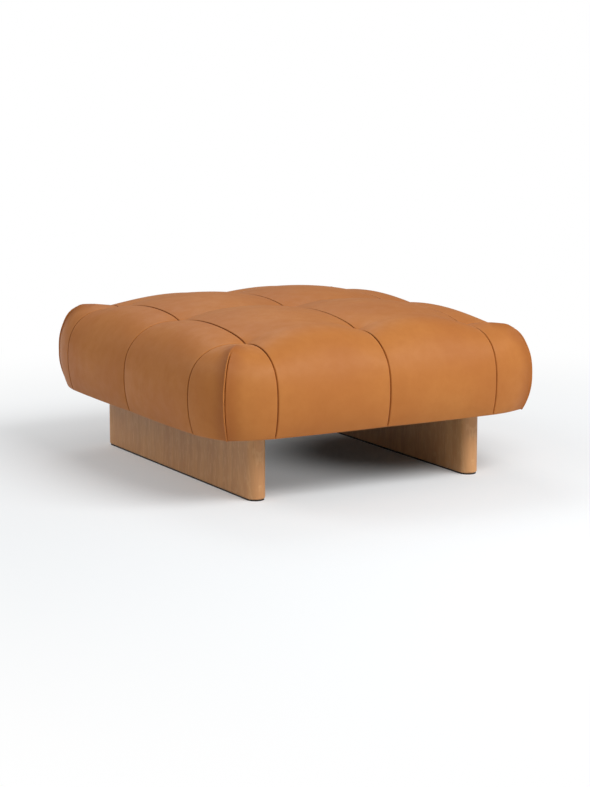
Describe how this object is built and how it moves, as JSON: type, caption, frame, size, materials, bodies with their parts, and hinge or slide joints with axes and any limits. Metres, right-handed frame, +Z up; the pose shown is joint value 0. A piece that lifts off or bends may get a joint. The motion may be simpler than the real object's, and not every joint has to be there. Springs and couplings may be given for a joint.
{
  "type": "tufted ottoman",
  "caption": "Near-square lounge ottoman: a tufted, pillowed leather seat with sewn corner seams, on a timber frame carried by rounded oak slab legs.",
  "frame": {"origin": "on the floor, midway between the legs, under the middle tuft of the seat", "axes": "+Z up; +Y along the legs, from the front of the seat to its back; +X to the right as seen from the front"},
  "size_m": [0.8542, 0.9182, 0.3786],
  "materials": {
    "leather": "smooth cognac leather, low sheen",
    "wadding": "soft foam wrapped in white wadding",
    "foam": "firm open-cell foam block",
    "plywood": "bare birch plywood",
    "cord": "waxed upholstery cord",
    "button_plastic": "plain moulded button",
    "pine": "bare planed softwood",
    "dowel_beech": "beech dowel",
    "oak": "light oak, matt lacquer, grain upright",
    "steel": "zinc-plated steel",
    "glide_plastic": "black plastic glide strip",
    "dust_cloth": "black non-woven dust cloth"
  },
  "bodies": {
    "root": {"cover_top_front_left": "leather", "cover_top_front_right": "leather", "cover_top_back_left": "leather", "cover_top_back_right": "leather", "cover_front_left": "leather", "cover_front_right": "leather", "cover_back_left": "leather", "cover_back_right": "leather", "cover_left_front": "leather", "cover_left_back": "leather", "cover_right_front": "leather", "cover_right_back": "leather", "gusset_front_left_a": "leather", "gusset_front_left_b": "leather", "gusset_front_right_a": "leather", "gusset_front_right_b": "leather", "gusset_back_left_a": "leather", "gusset_back_left_b": "leather", "gusset_back_right_a": "leather", "gusset_back_right_b": "leather", "corner_seam_lips": "leather", "pad_top_front_left": "wadding", "pad_top_front_right": "wadding", "pad_top_back_left": "wadding", "pad_top_back_right": "wadding", "pads_front": "wadding", "pads_back": "wadding", "pads_left": "wadding", "pads_right": "wadding", "pads_corner_front_left": "wadding", "pads_corner_front_right": "wadding", "pads_corner_back_left": "wadding", "pads_corner_back_right": "wadding", "foam_core": "foam", "deck": "plywood", "tuft_cords": "cord", "tuft_buttons": "button_plastic", "rail_front": "pine", "rail_back": "pine", "rail_left": "pine", "rail_right": "pine", "corner_block_front_left": "pine", "corner_block_front_right": "pine", "corner_block_back_left": "pine", "corner_block_back_right": "pine", "cross_rail_left": "pine", "cross_rail_right": "pine", "frame_screws": "steel", "frame_dowels": "dowel_beech", "deck_screws": "steel", "leg_left": "oak", "leg_right": "oak", "leg_inserts": "steel", "leg_bolts": "steel", "leg_washers": "steel", "glide_left": "glide_plastic", "glide_right": "glide_plastic", "dust_cover": "dust_cloth", "dust_cover_tacks": "steel"}
  },
  "joints": []
}
